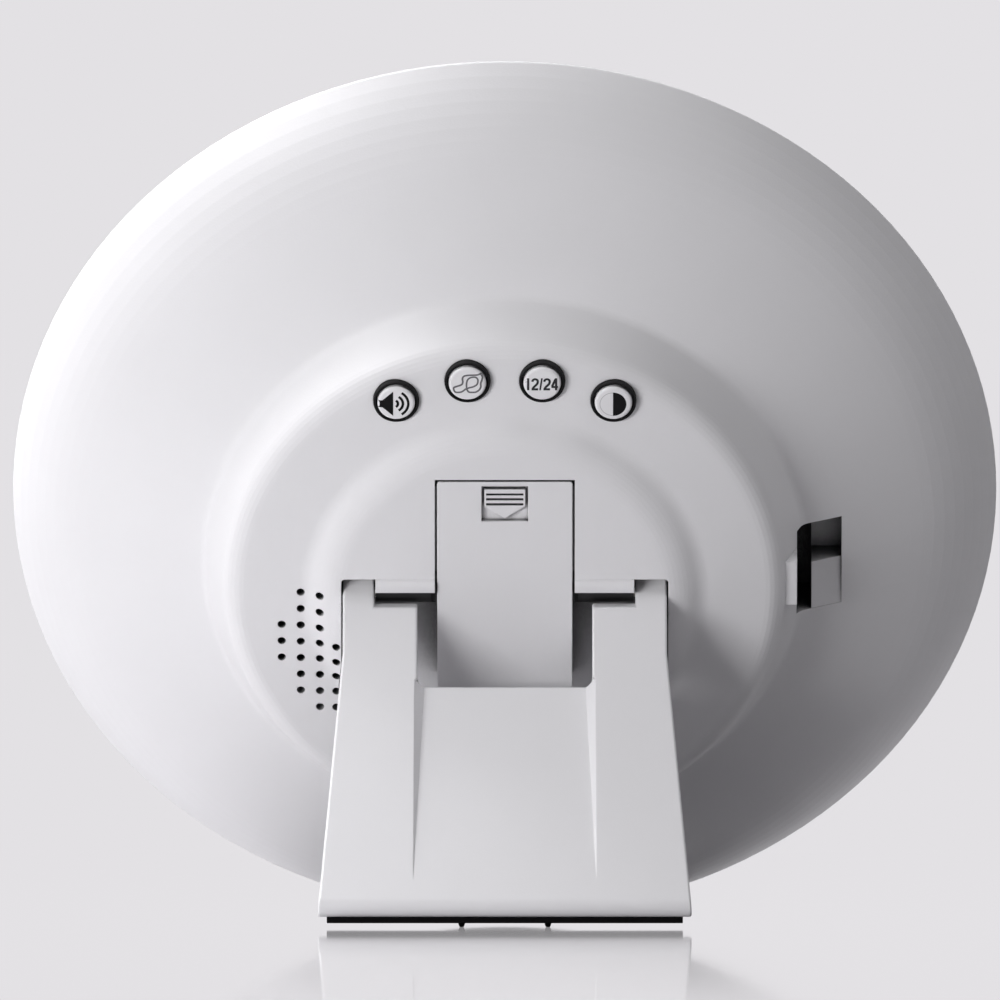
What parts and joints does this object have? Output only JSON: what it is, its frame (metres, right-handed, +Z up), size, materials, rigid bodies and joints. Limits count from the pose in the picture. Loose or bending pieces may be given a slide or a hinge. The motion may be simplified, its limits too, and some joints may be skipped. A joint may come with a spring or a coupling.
{
  "type": "sunrise alarm clock",
  "caption": "Round leaning bedside light clock with a stepped moulded back, press keys, speaker holes, a sliding battery door and a wide fold-out stand.",
  "frame": {"origin": "under the middle of the object's box, on the table", "axes": "+Z up; +Y towards the back, where the stand is; the lit face looks towards -Y and up; +X to the right as seen from the front"},
  "size_m": [0.2, 0.125, 0.1748],
  "materials": {
    "shell_white": "fine moulded texture",
    "button_white": "satin",
    "diffuser_milk": "frosted, lit from behind",
    "window_smoke": "polished",
    "digit_amber": "lit",
    "display_dark": "polished",
    "chassis_white": "moulded",
    "board_green": "solder-mask gloss",
    "board_white": "solder-mask gloss",
    "led_yellow": "moulded resin",
    "component_black": "moulded",
    "switch_metal": "stamped",
    "plunger_black": "moulded",
    "basket_steel": "painted",
    "magnet_grey": "sintered",
    "cone_black": "paper cone",
    "gauze_black": "woven",
    "cell_wrap": "printed-film gloss, bare",
    "spring_steel": "nickel-plated",
    "socket_black": "moulded",
    "pin_steel": "turned",
    "screw_zinc": "zinc-plated",
    "wire_red": "insulated",
    "foot_rubber": "matt",
    "seal_rubber": "matt"
  },
  "bodies": {
    "lamp": {"rear_shell": "shell_white", "front_diffuser": "diffuser_milk", "display_window": "window_smoke", "inner_chassis": "chassis_white", "led_board": "board_white", "led_chips": "led_yellow", "display_board": "board_green", "display_module": "display_dark", "display_digits": "digit_amber", "main_board": "board_green", "board_components": "component_black", "button_board": "board_green", "tact_switches": "switch_metal", "speaker_basket": "basket_steel", "speaker_magnet": "magnet_grey", "speaker_cone": "cone_black", "speaker_gauze": "gauze_black", "battery_cells": "cell_wrap", "battery_springs": "spring_steel", "battery_contacts": "spring_steel", "dc_socket": "socket_black", "dc_socket_pin": "pin_steel", "wire_loom": "wire_red", "front_foot": "foot_rubber", "chassis_screws": "screw_zinc", "board_screws": "screw_zinc", "button_board_screws": "screw_zinc", "display_screws": "screw_zinc", "key_seals": "seal_rubber", "hinge_bushes": "plunger_black"},
    "stand": {"stand_frame": "shell_white", "hinge_pins": "pin_steel", "foot_strip": "foot_rubber"},
    "door": {"battery_door": "shell_white"},
    "volume_key": {"volume_button": "button_white", "volume_plunger": "plunger_black"},
    "sound_key": {"sound_button": "button_white", "sound_plunger": "plunger_black"},
    "hour_format_key": {"hour_format_button": "button_white", "hour_format_plunger": "plunger_black"},
    "contrast_key": {"contrast_button": "button_white", "contrast_plunger": "plunger_black"}
  },
  "joints": [
    {"name": "stand_hinge", "type": "hinge", "parent": "lamp", "child": "stand", "pos_m": [0, 0.02366, 0.06751], "axis": [1, 0, 0], "range_deg": [-60, 0]},
    {"name": "battery_door_slide", "type": "slide", "parent": "lamp", "child": "door", "axis": [0, -0.5, -0.866], "range_m": [0, 0.024]},
    {"name": "volume_press", "type": "slide", "parent": "lamp", "child": "volume_key", "axis": [0, -0.866, 0.5], "range_m": [0, 0.0008], "stiffness_N_per_m": 1500, "springref_m": -0.0005},
    {"name": "sound_press", "type": "slide", "parent": "lamp", "child": "sound_key", "axis": [0, -0.866, 0.5], "range_m": [0, 0.0008], "stiffness_N_per_m": 1500, "springref_m": -0.0005},
    {"name": "hour_format_press", "type": "slide", "parent": "lamp", "child": "hour_format_key", "axis": [0, -0.866, 0.5], "range_m": [0, 0.0008], "stiffness_N_per_m": 1500, "springref_m": -0.0005},
    {"name": "contrast_press", "type": "slide", "parent": "lamp", "child": "contrast_key", "axis": [0, -0.866, 0.5], "range_m": [0, 0.0008], "stiffness_N_per_m": 1500, "springref_m": -0.0005}
  ]
}
